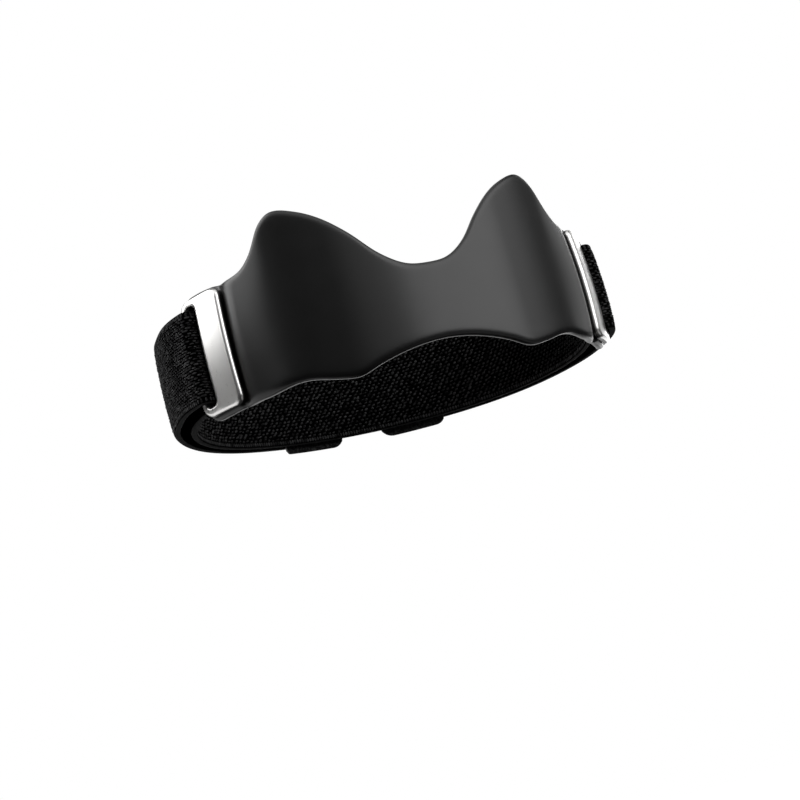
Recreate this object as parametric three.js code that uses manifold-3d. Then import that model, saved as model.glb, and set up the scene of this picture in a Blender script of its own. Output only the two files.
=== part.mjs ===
// Patellar strap: a moulded silicone pad for the front of the knee, two steel buckles on its ends, and a
// knitted elastic band that runs round the back of the leg and folds back on itself to two hook tabs.
// Millimetres, +Z up, the wearer's front along -Y. The origin is on the leg's axis, at half the band's
// height.
//
// Every piece follows one plan curve, the pad's outer face seen from above. A place on the strap is given by
// its arc length along that curve from the front centre (right is positive), its offset outwards from the
// curve, and its height.
import * as THREE from 'three';
import { mergeVertices } from 'three/addons/utils/BufferGeometryUtils.js';
import Module from 'manifold-3d';

const wasm = await Module();
wasm.setup();

// The plan curve's right half, as arcs from the front centre to the back; turns in degrees. The arc at the
// back takes up the rest of the half turn and is centred on the middle plane, so the loop closes.
const PLAN_ARCS = [
  { part: 'front', radius: 65.6, turn: 53.0 },
  { part: 'side', radius: 37.8, turn: 53.4 },
  { part: 'rear quarter', radius: 51.2, turn: 48.0 },
];
const FRONT_REACH = 44.2;
const CLEARANCE = 0.3;
const ROUND_STEPS = 2;

// At the sides the walls bow outwards at half their height, most between the arc lengths full and wane.
const BOW = { depth: 0.8, halfHeight: 16, start: 40, full: 53, wane: 78, end: 125 };

// The pad's upper and lower edge: the dip, the wing, and the waves below. Past the last row they are level.
const PAD_EDGES = [
  { arc: 0, top: 6.0, bottom: -14.4 },
  { arc: 6, top: 6.9, bottom: -14.8 },
  { arc: 12, top: 11.1, bottom: -15.8 },
  { arc: 18, top: 18.0, bottom: -17.3 },
  { arc: 24, top: 23.6, bottom: -19.1 },
  { arc: 30, top: 27.3, bottom: -18.2 },
  { arc: 36, top: 29.1, bottom: -16.6 },
  { arc: 40, top: 26.7, bottom: -16.2 },
  { arc: 44, top: 20.5, bottom: -16.5 },
  { arc: 48, top: 17.2, bottom: -16.8 },
  { arc: 54, top: 16.4, bottom: -16.7 },
  { arc: 58, top: 16.9, bottom: -16.6 },
  { arc: 64, top: 17.2, bottom: -16.8 },
];
const PAD_THICKNESS = 3.4;
// The wall thins towards its edges, most of it on the inside.
const PAD_OUTER_ROUND = { offset: 0.7, height: 2.2 };
const PAD_INNER_ROUND = { offset: 1.8, height: 5.0 };
const PAD_STEP = 2;
const PAD_FACE_STEPS = 6;

// Beside each wing the pad's outer face flares out and then rolls down to the seat of the buckle's plate. The
// inner face follows it by a share.
const FLARE = { depth: 1.4, start: 25, end: 48, roll: 50.5, foot: 55, innerShare: 0.7 };

// The tongue at each end of the pad, a ring that the buckle sits on.
const TONGUE_START = 51;
const TONGUE_FULL = 55.4;
const TONGUE_THICKNESS = 2.2;
const TONGUE_EDGE_ROUND = { offset: 0.4, height: 0.4 };
const TONGUE_CORNER = 3.6;
const TONGUE_CORNER_STEP = 0.9;
const TONGUE_RIM = 0.4;

// The buckle: a frame with a wide plate in front of the slot and a narrow bar behind it.
const BUCKLE = { front: 55.4, rear: 69.4, bottom: -15.8, top: 15.9, thickness: 1.7, bevel: 0.8 };
const BUCKLE_CORNERS = { front: 2.4, rear: 3.4 };
const SLOT = { front: 63.8, rear: 67.0, bottom: -13.3, top: 13.8 };
const SLOT_CORNERS = { front: 1.5, rear: 0.8 };
const CORNER_STEPS = 4;
const SIDE_STEPS = 3;
const POST = { arc: 59.6, height: 9, radius: 1.1, length: 1.5, sides: 12 };

// The band: knitted elastic, with the middle of its thickness at these offsets at the back of the leg.
const BAND_WIDTH = 25;
const BAND_THICKNESS = 1.8;
const BAND_BOTTOM = -12.2;
const BAND_EDGE_ROUND = { offset: 0.5, height: 0.5 };
const BAND_FACE_STEPS = 3;
const BAND_STEP = 4;
const INNER_LAYER = -0.7;
const OUTER_LAYER = 2.6;
const OUTER_SIDE = 2.0;
const LAYERS_LEAVE_BAR = 71;
const OUTER_COMES_IN = 86;
const OUTER_GOES_OUT = 95;
const LAYERS_MEET = 125;
const FOLD_RADIUS = 1.25;
const FOLD_STEPS = 5;

// The hook tabs, between the two layers; the gap between the tabs lies a little right of the back's centre.
const TABS = [
  { name: 'tab_left', side: -1, first: 149.0, last: 167.8, firstCorner: 1.0, lastCorner: 3.5 },
  { name: 'tab_right', side: 1, first: 143.4, last: 163.4, firstCorner: 3.0, lastCorner: 4.0 },
];
const TAB_THICKNESS = 0.9;
const TAB_REACH = 2.1;
const TAB_EDGE_ROUND = { offset: 0.3, height: 0.3 };
const TAB_STEP = 2.2;
const TAB_CORNER_STEP = 0.8;
const TAB_OVERHANG = 2.5;

const SILICONE = { color: 0x17181a, roughness: 0.55, metalness: 0 };
const STEEL = { color: 0xc9cacc, roughness: 0.28, metalness: 1 };
const KNIT = { color: 0x0d0d0e, roughness: 0.95, metalness: 0 };
const HOOK = { color: 0x121213, roughness: 0.85, metalness: 0 };

// The plan curve

function planArcs() {
  const arcs = [];
  let heading = 0;
  let x = 0;
  let y = -FRONT_REACH;
  for (const { radius, turn } of PLAN_ARCS) {
    const angle = THREE.MathUtils.degToRad(turn);
    const arc = { radius, heading, length: radius * angle };
    arc.x = x - radius * Math.sin(heading);
    arc.y = y + radius * Math.cos(heading);
    arcs.push(arc);
    heading += angle;
    x = arc.x + radius * Math.sin(heading);
    y = arc.y - radius * Math.cos(heading);
  }
  const radius = x / Math.sin(heading);
  const length = radius * (Math.PI - heading);
  arcs.push({ radius, heading, length, x: 0, y: y + radius * Math.cos(heading) });
  return arcs;
}

const PLAN = planArcs();
const HALF_LENGTH = PLAN.reduce((sum, arc) => sum + arc.length, 0);

// The point on the curve at an arc length, with the outward direction there and the direction of the bow.
function planFrame(arcLength) {
  const side = arcLength < 0 ? -1 : 1;
  let rest = Math.min(Math.abs(arcLength), HALF_LENGTH);
  let index = 0;
  while (index < PLAN.length - 1 && rest > PLAN[index].length) {
    rest -= PLAN[index].length;
    index += 1;
  }
  const arc = PLAN[index];
  const angle = arc.heading + rest / arc.radius;
  const out = new THREE.Vector2(Math.sin(angle), -Math.cos(angle));
  const x = arc.x + arc.radius * out.x;
  const y = arc.y + arc.radius * out.y;
  const arcAway = Math.abs(arcLength);
  const bow =
    THREE.MathUtils.smoothstep(arcAway, BOW.start, BOW.full) *
    (1 - THREE.MathUtils.smoothstep(arcAway, BOW.wane, BOW.end));
  return { x: side * x, y, outX: side * out.x, outY: out.y, bowX: side * out.x * bow, bowY: out.y * bow };
}

function place(frame, offset, height) {
  const bow = -BOW.depth * (height / BOW.halfHeight) ** 2;
  return new THREE.Vector3(
    frame.x + frame.outX * offset + frame.bowX * bow,
    frame.y + frame.outY * offset + frame.bowY * bow,
    height,
  );
}

// Solids

function signedVolume(position, index) {
  const a = new THREE.Vector3();
  const b = new THREE.Vector3();
  const c = new THREE.Vector3();
  let sum = 0;
  for (let i = 0; i < index.length; i += 3) {
    a.fromBufferAttribute(position, index[i]);
    b.fromBufferAttribute(position, index[i + 1]);
    c.fromBufferAttribute(position, index[i + 2]);
    sum += a.dot(b.cross(c));
  }
  return sum;
}

function geometryOf(points, triangles) {
  const geometry = new THREE.BufferGeometry().setFromPoints(points);
  const inwards = signedVolume(geometry.getAttribute('position'), triangles) < 0;
  geometry.setIndex(inwards ? triangles.slice().reverse() : triangles);
  return geometry;
}

// A solid through rings of equally many points. An open row of rings gets a fan of triangles at each end.
function loft(rings, closed = false) {
  const size = rings[0].length;
  const points = rings.flat();
  const triangles = [];
  const spans = closed ? rings.length : rings.length - 1;
  for (let row = 0; row < spans; row += 1) {
    const near = row * size;
    const far = ((row + 1) % rings.length) * size;
    for (let i = 0; i < size; i += 1) {
      const j = (i + 1) % size;
      triangles.push(near + i, near + j, far + j, near + i, far + j, far + i);
    }
  }
  if (!closed) {
    const ends = [{ start: 0, flip: true }, { start: (rings.length - 1) * size, flip: false }];
    for (const { start, flip } of ends) {
      const ring = points.slice(start, start + size);
      const middle = points.length;
      points.push(ring.reduce((sum, p) => sum.add(p), new THREE.Vector3()).divideScalar(size));
      for (let i = 0; i < size; i += 1) {
        const edge = [start + i, start + ((i + 1) % size)];
        triangles.push(middle, ...(flip ? edge.reverse() : edge));
      }
    }
  }
  return geometryOf(points, triangles);
}

// One upright section of a wall: its outer face from the bottom up, the rounded top edge, its inner face
// downwards and the rounded bottom edge. Each edge is rounded as a quarter of an ellipse.
function wallSection(frame, { top, bottom, inner, outer, outerRound, innerRound, faceSteps = 1 }) {
  const outline = [];
  const push = (offset, height) => outline.push(place(frame, offset, height));
  const pushFace = (offset, from, to, firstStep) => {
    for (let step = firstStep; step < faceSteps; step += 1) {
      push(offset, THREE.MathUtils.lerp(from, to, step / faceSteps));
    }
  };
  const pushTurn = (offset, height, round, start, steps = ROUND_STEPS) => {
    for (let step = 0; step <= steps; step += 1) {
      const angle = THREE.MathUtils.degToRad(start + (90 * step) / ROUND_STEPS);
      push(offset + round.offset * Math.cos(angle), height + round.height * Math.sin(angle));
    }
  };
  const outerMiddle = outer - outerRound.offset;
  const innerMiddle = inner + innerRound.offset;
  pushFace(outer, bottom + outerRound.height, top - outerRound.height, 0);
  pushTurn(outerMiddle, top - outerRound.height, outerRound, 0);
  pushTurn(innerMiddle, top - innerRound.height, innerRound, 90);
  pushFace(inner, top - innerRound.height, bottom + innerRound.height, 1);
  pushTurn(innerMiddle, bottom + innerRound.height, innerRound, 180);
  pushTurn(outerMiddle, bottom + outerRound.height, outerRound, 270, ROUND_STEPS - 1);
  return outline;
}

// How far a rounded corner draws an edge in, at a place along it.
function cornerInset(toEnd, radius) {
  if (toEnd >= radius) {
    return 0;
  }
  const across = radius - Math.max(toEnd, 0);
  return radius - Math.sqrt(radius * radius - across * across);
}

function evenSteps(first, last, step) {
  const count = Math.max(1, Math.round((last - first) / step));
  return Array.from({ length: count + 1 }, (_, i) => first + ((last - first) * i) / count);
}

// Booleans

function toManifold(geometry) {
  const bare = geometry.clone();
  bare.deleteAttribute('normal');
  bare.deleteAttribute('uv');
  const merged = mergeVertices(bare, 1e-4);
  const mesh = new wasm.Mesh({
    numProp: 3,
    vertProperties: new Float32Array(merged.getAttribute('position').array),
    triVerts: new Uint32Array(merged.getIndex().array),
  });
  return new wasm.Manifold(mesh);
}

function fromManifold(solid) {
  const { numProp, vertProperties, triVerts } = solid.getMesh();
  const geometry = new THREE.BufferGeometry();
  geometry.setAttribute('position', new THREE.BufferAttribute(new Float32Array(vertProperties), numProp));
  geometry.setIndex(new THREE.BufferAttribute(new Uint32Array(triVerts), 1));
  return geometry;
}

// The pad

// A smooth curve through the rows of the edge table, level at the front centre and past the last row.
function padEdge(column, arcLength) {
  const last = PAD_EDGES.length - 1;
  const arc = Math.min(Math.abs(arcLength), PAD_EDGES[last].arc);
  let row = 0;
  while (row < last - 1 && arc > PAD_EDGES[row + 1].arc) {
    row += 1;
  }
  const slope = (i) => {
    if (i === 0 || i === last) {
      return 0;
    }
    const before = PAD_EDGES[i - 1];
    const after = PAD_EDGES[i + 1];
    return (after[column] - before[column]) / (after.arc - before.arc);
  };
  const near = PAD_EDGES[row];
  const far = PAD_EDGES[row + 1];
  const span = far.arc - near.arc;
  const t = (arc - near.arc) / span;
  const bend = t * (1 - t) * span;
  const line = THREE.MathUtils.lerp(near[column], far[column], t * t * (3 - 2 * t));
  return line + bend * (slope(row) * (1 - t) - slope(row + 1) * t);
}

// How far the outer face stands out at an arc length.
function padFlare(arc) {
  const rise = THREE.MathUtils.smoothstep(arc, FLARE.start, FLARE.end);
  const roll = THREE.MathUtils.clamp((arc - FLARE.roll) / (FLARE.foot - FLARE.roll), 0, 1);
  return FLARE.depth * rise * (1 - roll * roll);
}

function roundBetween(near, far, t) {
  return {
    offset: THREE.MathUtils.lerp(near.offset, far.offset, t),
    height: THREE.MathUtils.lerp(near.height, far.height, t),
  };
}

function padSection(arcLength) {
  const arc = Math.abs(arcLength);
  const flare = padFlare(arc);
  const toTongue = THREE.MathUtils.smoothstep(arc, TONGUE_START, TONGUE_FULL);
  const inset = cornerInset(BUCKLE.rear + TONGUE_RIM - arc, TONGUE_CORNER);
  return wallSection(planFrame(arcLength), {
    top: padEdge('top', arc) - inset,
    bottom: padEdge('bottom', arc) + inset,
    inner: -THREE.MathUtils.lerp(PAD_THICKNESS - FLARE.innerShare * flare, TONGUE_THICKNESS, toTongue),
    outer: flare,
    outerRound: roundBetween(PAD_OUTER_ROUND, TONGUE_EDGE_ROUND, toTongue),
    innerRound: roundBetween(PAD_INNER_ROUND, TONGUE_EDGE_ROUND, toTongue),
    faceSteps: PAD_FACE_STEPS,
  });
}

// A block through the wall at the slot, to cut the window that the band passes through.
function windowBlock(side) {
  const rings = evenSteps(SLOT.front, SLOT.rear, PAD_STEP).map((arc) => {
    const frame = planFrame(side * arc);
    return [
      place(frame, PAD_THICKNESS, SLOT.bottom),
      place(frame, PAD_THICKNESS, SLOT.top),
      place(frame, -2 * PAD_THICKNESS, SLOT.top),
      place(frame, -2 * PAD_THICKNESS, SLOT.bottom),
    ];
  });
  return loft(rings);
}

function post(side, height, radius, inner, outer) {
  const frame = planFrame(side * POST.arc);
  const rings = [inner, outer].map((offset) =>
    Array.from({ length: POST.sides }, (_, i) => {
      const angle = (2 * Math.PI * i) / POST.sides;
      const point = place(frame, offset, height + radius * Math.sin(angle));
      point.x -= frame.outY * radius * Math.cos(angle);
      point.y += frame.outX * radius * Math.cos(angle);
      return point;
    }),
  );
  return loft(rings);
}

const POST_HEIGHTS = [-POST.height, POST.height];

function padGeometry() {
  const end = BUCKLE.rear + TONGUE_RIM;
  const half = [
    ...evenSteps(0, FLARE.foot, PAD_STEP),
    ...evenSteps(FLARE.foot, end - TONGUE_CORNER, PAD_STEP).slice(1),
    ...evenSteps(end - TONGUE_CORNER, end, TONGUE_CORNER_STEP).slice(1),
  ];
  const stations = [...half.slice(1).map((arc) => -arc).reverse(), ...half];
  let solid = toManifold(loft(stations.map(padSection)));
  for (const side of [-1, 1]) {
    solid = solid.subtract(toManifold(windowBlock(side)));
    for (const height of POST_HEIGHTS) {
      const hole = post(side, height, POST.radius + CLEARANCE, -POST.length, PAD_THICKNESS);
      solid = solid.subtract(toManifold(hole));
    }
  }
  return fromManifold(solid);
}

// The buckles

// A rectangle with rounded corners as equally many points each time, in arc length and height.
function roundedFrame({ front, rear, bottom, top }, corners, inset) {
  const box = { front: front + inset, rear: rear - inset, bottom: bottom + inset, top: top - inset };
  const turns = [
    { arc: box.rear, height: box.bottom, radius: corners.rear - inset, start: -90, inArc: -1, inHeight: 1 },
    { arc: box.rear, height: box.top, radius: corners.rear - inset, start: 0, inArc: -1, inHeight: -1 },
    { arc: box.front, height: box.top, radius: corners.front - inset, start: 90, inArc: 1, inHeight: -1 },
    { arc: box.front, height: box.bottom, radius: corners.front - inset, start: 180, inArc: 1, inHeight: 1 },
  ];
  const outline = turns.map(({ arc, height, radius, start, inArc, inHeight }) =>
    Array.from({ length: CORNER_STEPS + 1 }, (_, step) => {
      const angle = THREE.MathUtils.degToRad(start + (90 * step) / CORNER_STEPS);
      return {
        arc: arc + radius * (inArc + Math.cos(angle)),
        height: height + radius * (inHeight + Math.sin(angle)),
      };
    }),
  );
  return outline.flatMap((corner, i) => {
    const from = corner[CORNER_STEPS];
    const to = outline[(i + 1) % outline.length][0];
    const between = Array.from({ length: SIDE_STEPS - 1 }, (_, step) => {
      const t = (step + 1) / SIDE_STEPS;
      return {
        arc: THREE.MathUtils.lerp(from.arc, to.arc, t),
        height: THREE.MathUtils.lerp(from.height, to.height, t),
      };
    });
    return [...corner, ...between];
  });
}

function buckleGeometry(side) {
  const { thickness, bevel } = BUCKLE;
  const back = CLEARANCE;
  const face = back + thickness;
  const ring = (outline, offset) =>
    outline.map(({ arc, height }) => place(planFrame(side * arc), offset, height));
  const outer = (inset) => roundedFrame(BUCKLE, BUCKLE_CORNERS, inset);
  const inner = (inset) => roundedFrame(SLOT, SLOT_CORNERS, -inset);
  const middle = outer(bevel).map((point, i) => ({
    arc: (point.arc + inner(bevel)[i].arc) / 2,
    height: (point.height + inner(bevel)[i].height) / 2,
  }));
  const frame = loft(
    [
      ring(outer(0), back),
      ring(outer(0), face - bevel),
      ring(outer(bevel), face),
      ring(middle, face),
      ring(inner(bevel), face),
      ring(inner(0), face - bevel),
      ring(inner(0), back),
      ring(middle, back),
    ],
    true,
  );
  let solid = toManifold(frame);
  for (const height of POST_HEIGHTS) {
    const stud = post(side, height, POST.radius, back - POST.length, back + thickness / 2);
    solid = solid.add(toManifold(stud));
  }
  return fromManifold(solid);
}

// The band

// The offsets of the two layers, which lie apart at the buckle's bar and close up towards the back.
function layerOffsets(arc) {
  const reach = CLEARANCE + BAND_THICKNESS / 2;
  const underTongue = -TONGUE_THICKNESS - reach;
  const overBuckle = CLEARANCE + BUCKLE.thickness + reach;
  const inner = THREE.MathUtils.smoothstep(arc, LAYERS_LEAVE_BAR, LAYERS_MEET);
  const comesIn = THREE.MathUtils.smoothstep(arc, LAYERS_LEAVE_BAR, OUTER_COMES_IN);
  const goesOut = THREE.MathUtils.smoothstep(arc, OUTER_GOES_OUT, LAYERS_MEET);
  const side = THREE.MathUtils.lerp(overBuckle, OUTER_SIDE, comesIn);
  return {
    inner: THREE.MathUtils.lerp(underTongue, INNER_LAYER, inner),
    outer: THREE.MathUtils.lerp(side, OUTER_LAYER, goesOut),
  };
}

// The middle of the band's thickness from the back centre to one end, as arc lengths and offsets.
function bandHalf(end) {
  const fold = SLOT.rear - CLEARANCE - BAND_THICKNESS / 2;
  const turn = fold + FOLD_RADIUS;
  const atBar = layerOffsets(turn);
  const steps = evenSteps(turn, HALF_LENGTH, BAND_STEP);
  const route = steps.slice(1).reverse().map((arc) => ({ arc, offset: layerOffsets(arc).inner }));
  const bends = [
    { offset: atBar.inner + FOLD_RADIUS, start: -90 },
    { offset: atBar.outer - FOLD_RADIUS, start: 180 },
  ];
  for (const { offset, start } of bends) {
    for (let step = 0; step <= FOLD_STEPS; step += 1) {
      const angle = THREE.MathUtils.degToRad(start - (90 * step) / FOLD_STEPS);
      route.push({
        arc: turn + FOLD_RADIUS * Math.cos(angle),
        offset: offset + FOLD_RADIUS * Math.sin(angle),
      });
    }
  }
  for (const arc of evenSteps(turn, end, BAND_STEP).slice(1)) {
    route.push({ arc, offset: layerOffsets(arc).outer });
  }
  return route;
}

function bandRoute() {
  const halves = TABS.map(({ side, last }) =>
    bandHalf(last - TAB_OVERHANG).map(({ arc, offset }) => {
      const frame = planFrame(side * arc);
      const { x, y } = place(frame, offset, 0);
      return { point: new THREE.Vector2(x, y), bowX: frame.bowX, bowY: frame.bowY };
    }),
  );
  const [left, right] = halves;
  return [...left.reverse(), ...right.slice(1)];
}

function bandGeometry() {
  const route = bandRoute();
  const rings = route.map(({ point, bowX, bowY }, i) => {
    const before = route[Math.max(i - 1, 0)].point;
    const after = route[Math.min(i + 1, route.length - 1)].point;
    const along = after.clone().sub(before).normalize();
    const frame = { x: point.x, y: point.y, outX: along.y, outY: -along.x, bowX, bowY };
    return wallSection(frame, {
      top: BAND_BOTTOM + BAND_WIDTH,
      bottom: BAND_BOTTOM,
      inner: -BAND_THICKNESS / 2,
      outer: BAND_THICKNESS / 2,
      outerRound: BAND_EDGE_ROUND,
      innerRound: BAND_EDGE_ROUND,
      faceSteps: BAND_FACE_STEPS,
    });
  });
  return loft(rings);
}

// The hook tabs

function tabGeometry({ side, first, last, firstCorner, lastCorner }) {
  const between = INNER_LAYER + BAND_THICKNESS / 2 + CLEARANCE;
  const stations = [
    ...evenSteps(first, first + firstCorner, TAB_CORNER_STEP),
    ...evenSteps(first + firstCorner, last - lastCorner, TAB_STEP).slice(1, -1),
    ...evenSteps(last - lastCorner, last, TAB_CORNER_STEP),
  ];
  const rings = stations.map((arc) => {
    const inset = cornerInset(arc - first, firstCorner) + cornerInset(last - arc, lastCorner);
    return wallSection(planFrame(side * arc), {
      top: BAND_BOTTOM + BAND_WIDTH + TAB_REACH - inset,
      bottom: BAND_BOTTOM - TAB_REACH + inset,
      inner: between,
      outer: between + TAB_THICKNESS,
      outerRound: TAB_EDGE_ROUND,
      innerRound: TAB_EDGE_ROUND,
    });
  });
  return loft(rings);
}

// The strap

function piece(name, geometry, look) {
  const mesh = new THREE.Mesh(geometry, new THREE.MeshStandardMaterial(look));
  mesh.name = name;
  return mesh;
}

const strap = new THREE.Group();
strap.add(piece('pad', padGeometry(), SILICONE));
strap.add(piece('buckle_left', buckleGeometry(-1), STEEL));
strap.add(piece('buckle_right', buckleGeometry(1), STEEL));
strap.add(piece('band', bandGeometry(), KNIT));
for (const tab of TABS) {
  strap.add(piece(tab.name, tabGeometry(tab), HOOK));
}

export default strap;
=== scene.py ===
"""The looks of a patellar strap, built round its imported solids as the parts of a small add-on.

Every piece follows one plan curve, the pad's outer face seen from above. A place on the strap is an arc
length along that curve from the front centre (right is positive), an offset outwards and a height.
"""

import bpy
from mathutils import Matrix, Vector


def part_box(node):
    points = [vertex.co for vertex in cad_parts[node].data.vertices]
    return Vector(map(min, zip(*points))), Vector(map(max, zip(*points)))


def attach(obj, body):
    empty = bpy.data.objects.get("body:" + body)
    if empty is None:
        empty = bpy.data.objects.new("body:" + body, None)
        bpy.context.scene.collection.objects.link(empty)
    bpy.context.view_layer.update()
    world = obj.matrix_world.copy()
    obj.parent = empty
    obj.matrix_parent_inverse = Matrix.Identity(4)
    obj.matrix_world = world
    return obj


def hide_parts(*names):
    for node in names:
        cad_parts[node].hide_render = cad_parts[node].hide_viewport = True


bl_info = {
    "name": "Patellar strap",
    "version": (1, 0, 0),
    "blender": (4, 5, 0),
    "location": "View3D > Sidebar > Strap",
    "description": "Models a patellar strap: silicone pad, steel buckles, knitted band and hook tabs",
    "category": "Add Mesh",
}

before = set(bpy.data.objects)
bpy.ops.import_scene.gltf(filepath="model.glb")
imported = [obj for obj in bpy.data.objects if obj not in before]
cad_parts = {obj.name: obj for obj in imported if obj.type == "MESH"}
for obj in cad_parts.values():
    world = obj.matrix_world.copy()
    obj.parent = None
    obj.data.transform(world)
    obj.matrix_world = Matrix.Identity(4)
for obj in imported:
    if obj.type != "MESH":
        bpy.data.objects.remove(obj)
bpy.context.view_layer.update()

import math
from contextlib import contextmanager

import bmesh
import bpy
import numpy as np
from bpy.props import FloatProperty, FloatVectorProperty, PointerProperty
from mathutils import Matrix, Vector, noise

MM = 0.001
BODY = "root"
CORNER_SEGMENTS = 6
# How near a point is when it counts as at a place, and when it is merged with another.
TOUCH = 0.01 * MM
MERGE = 0.001 * MM

# The pad's upper and lower edge by arc length, in millimetres; past the last row the edges are level.
PAD_EDGES = (
    {"arc": 0, "top": 6.0, "bottom": -14.4},
    {"arc": 6, "top": 6.9, "bottom": -14.8},
    {"arc": 12, "top": 11.1, "bottom": -15.8},
    {"arc": 18, "top": 18.0, "bottom": -17.3},
    {"arc": 24, "top": 23.6, "bottom": -19.1},
    {"arc": 30, "top": 27.3, "bottom": -18.2},
    {"arc": 36, "top": 29.1, "bottom": -16.6},
    {"arc": 40, "top": 26.7, "bottom": -16.2},
    {"arc": 44, "top": 20.5, "bottom": -16.5},
    {"arc": 48, "top": 17.2, "bottom": -16.8},
    {"arc": 54, "top": 16.4, "bottom": -16.7},
    {"arc": 58, "top": 16.9, "bottom": -16.6},
    {"arc": 64, "top": 17.2, "bottom": -16.8},
)


def length(name, millimetres, description):
    """A size that a user may change, shown in the scene's units."""
    return FloatProperty(
        name=name, description=description, default=millimetres * MM, unit="LENGTH", precision=5
    )


def angle(name, degrees, description):
    return FloatProperty(
        name=name, description=description, default=math.radians(degrees), subtype="ANGLE"
    )


def portion(name, value, description):
    return FloatProperty(
        name=name, description=description, default=value, subtype="FACTOR", min=0, max=1
    )


def colour(name, value, description):
    return FloatVectorProperty(
        name=name, description=description, default=value, subtype="COLOR", size=3, min=0, max=1
    )


class StrapPlanSizes(bpy.types.PropertyGroup):
    """The plan curve's right half, as tangent arcs from the front centre."""

    front_reach: length("Front reach", 44.2, "From the strap's axis to the pad's front")
    front_radius: length("Front radius", 65.6, "Radius of the front arc")
    front_turn: angle("Front turn", 53.0, "Turn of the front arc")
    side_radius: length("Side radius", 37.8, "Radius of the arc at the side")
    side_turn: angle("Side turn", 53.4, "Turn of the arc at the side")
    quarter_radius: length("Quarter radius", 51.2, "Radius of the arc behind the side")
    quarter_turn: angle("Quarter turn", 48.0, "Turn of the arc behind the side")
    bow_depth: length("Bow depth", 0.8, "How far the walls at the sides bow outwards")
    bow_half: length("Bow half height", 16.0, "Height at which a wall has fallen back by the bow's depth")
    bow_start: length("Bow start", 40.0, "Arc length where the bow starts")
    bow_full: length("Bow full", 53.0, "Arc length from which the bow is full")
    bow_wane: length("Bow wane", 78.0, "Arc length up to which the bow is full")
    bow_end: length("Bow end", 125.0, "Arc length where the bow ends")


class StrapPadSizes(bpy.types.PropertyGroup):
    """The moulded pad."""

    thickness: length("Thickness", 3.4, "Wall thickness at the front")
    outer_round: length("Outer round", 0.7, "How far the outer face's edges are drawn in")
    outer_rise: length("Outer round height", 2.2, "Height of the outer face's rounded edges")
    inner_round: length("Inner round", 1.8, "How far the inner face's edges are drawn in")
    inner_rise: length("Inner round height", 5.0, "Height of the inner face's rounded edges")
    flare_depth: length("Flare depth", 1.4, "How far the ends flare out beside the wings")
    flare_start: length("Flare start", 25.0, "Arc length where the flare starts")
    flare_end: length("Flare end", 48.0, "Arc length where the flare is full")
    flare_roll: length("Flare roll", 50.5, "Arc length where the flare starts to roll down to the buckle")
    flare_foot: length("Flare foot", 55.0, "Arc length where the flare is down at the buckle's seat")
    flare_return: length("Flare return", 2.4, "Length under the plate in which the roll comes back")
    inner_share: portion("Inner share", 0.7, "Share of the flare that the inner face follows")
    tongue_start: length("Tongue start", 51.0, "Arc length where the wall starts to thin to the tongue")
    tongue_full: length("Tongue full", 55.4, "Arc length where the wall has thinned to the tongue")
    tongue_thickness: length("Tongue thickness", 2.2, "Wall thickness under the buckles")
    tongue_round: length("Tongue round", 0.8, "Radius of the tongue's rounded edges")
    tongue_corner: length("Tongue corner", 3.6, "Radius of the tongue's corners")
    tongue_rim: length("Tongue rim", 0.4, "How far the tongue reaches past the buckle")
    silicone: colour("Silicone", (0.0022, 0.0022, 0.0023), "Colour of the silicone")


class StrapBuckleSizes(bpy.types.PropertyGroup):
    """The steel frames."""

    front: length("Front", 55.4, "Arc length of the plate's front edge")
    rear: length("Rear", 69.4, "Arc length of the rear bar's far edge")
    slot_front: length("Slot front", 63.8, "Arc length of the slot's front edge")
    slot_rear: length("Slot rear", 67.0, "Arc length of the slot's rear edge")
    slot_bottom: length("Slot bottom", -13.3, "Height of the slot's lower end")
    slot_top: length("Slot top", 13.8, "Height of the slot's upper end")
    thickness: length("Thickness", 1.7, "Thickness of the plate")
    front_corner: length("Front corner", 2.4, "Radius of the plate's front corners")
    rear_corner: length("Rear corner", 3.4, "Radius of the frame's rear corners")
    slot_corner: length("Slot corner", 1.5, "Radius of the slot's corners")
    bevel: length("Bevel", 1.1, "Width of the rounded edge of the face")
    clearance: length("Clearance", 0.3, "Gap between pieces that touch")
    steel: colour("Steel", (0.6, 0.595, 0.585), "Colour of the steel")


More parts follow.
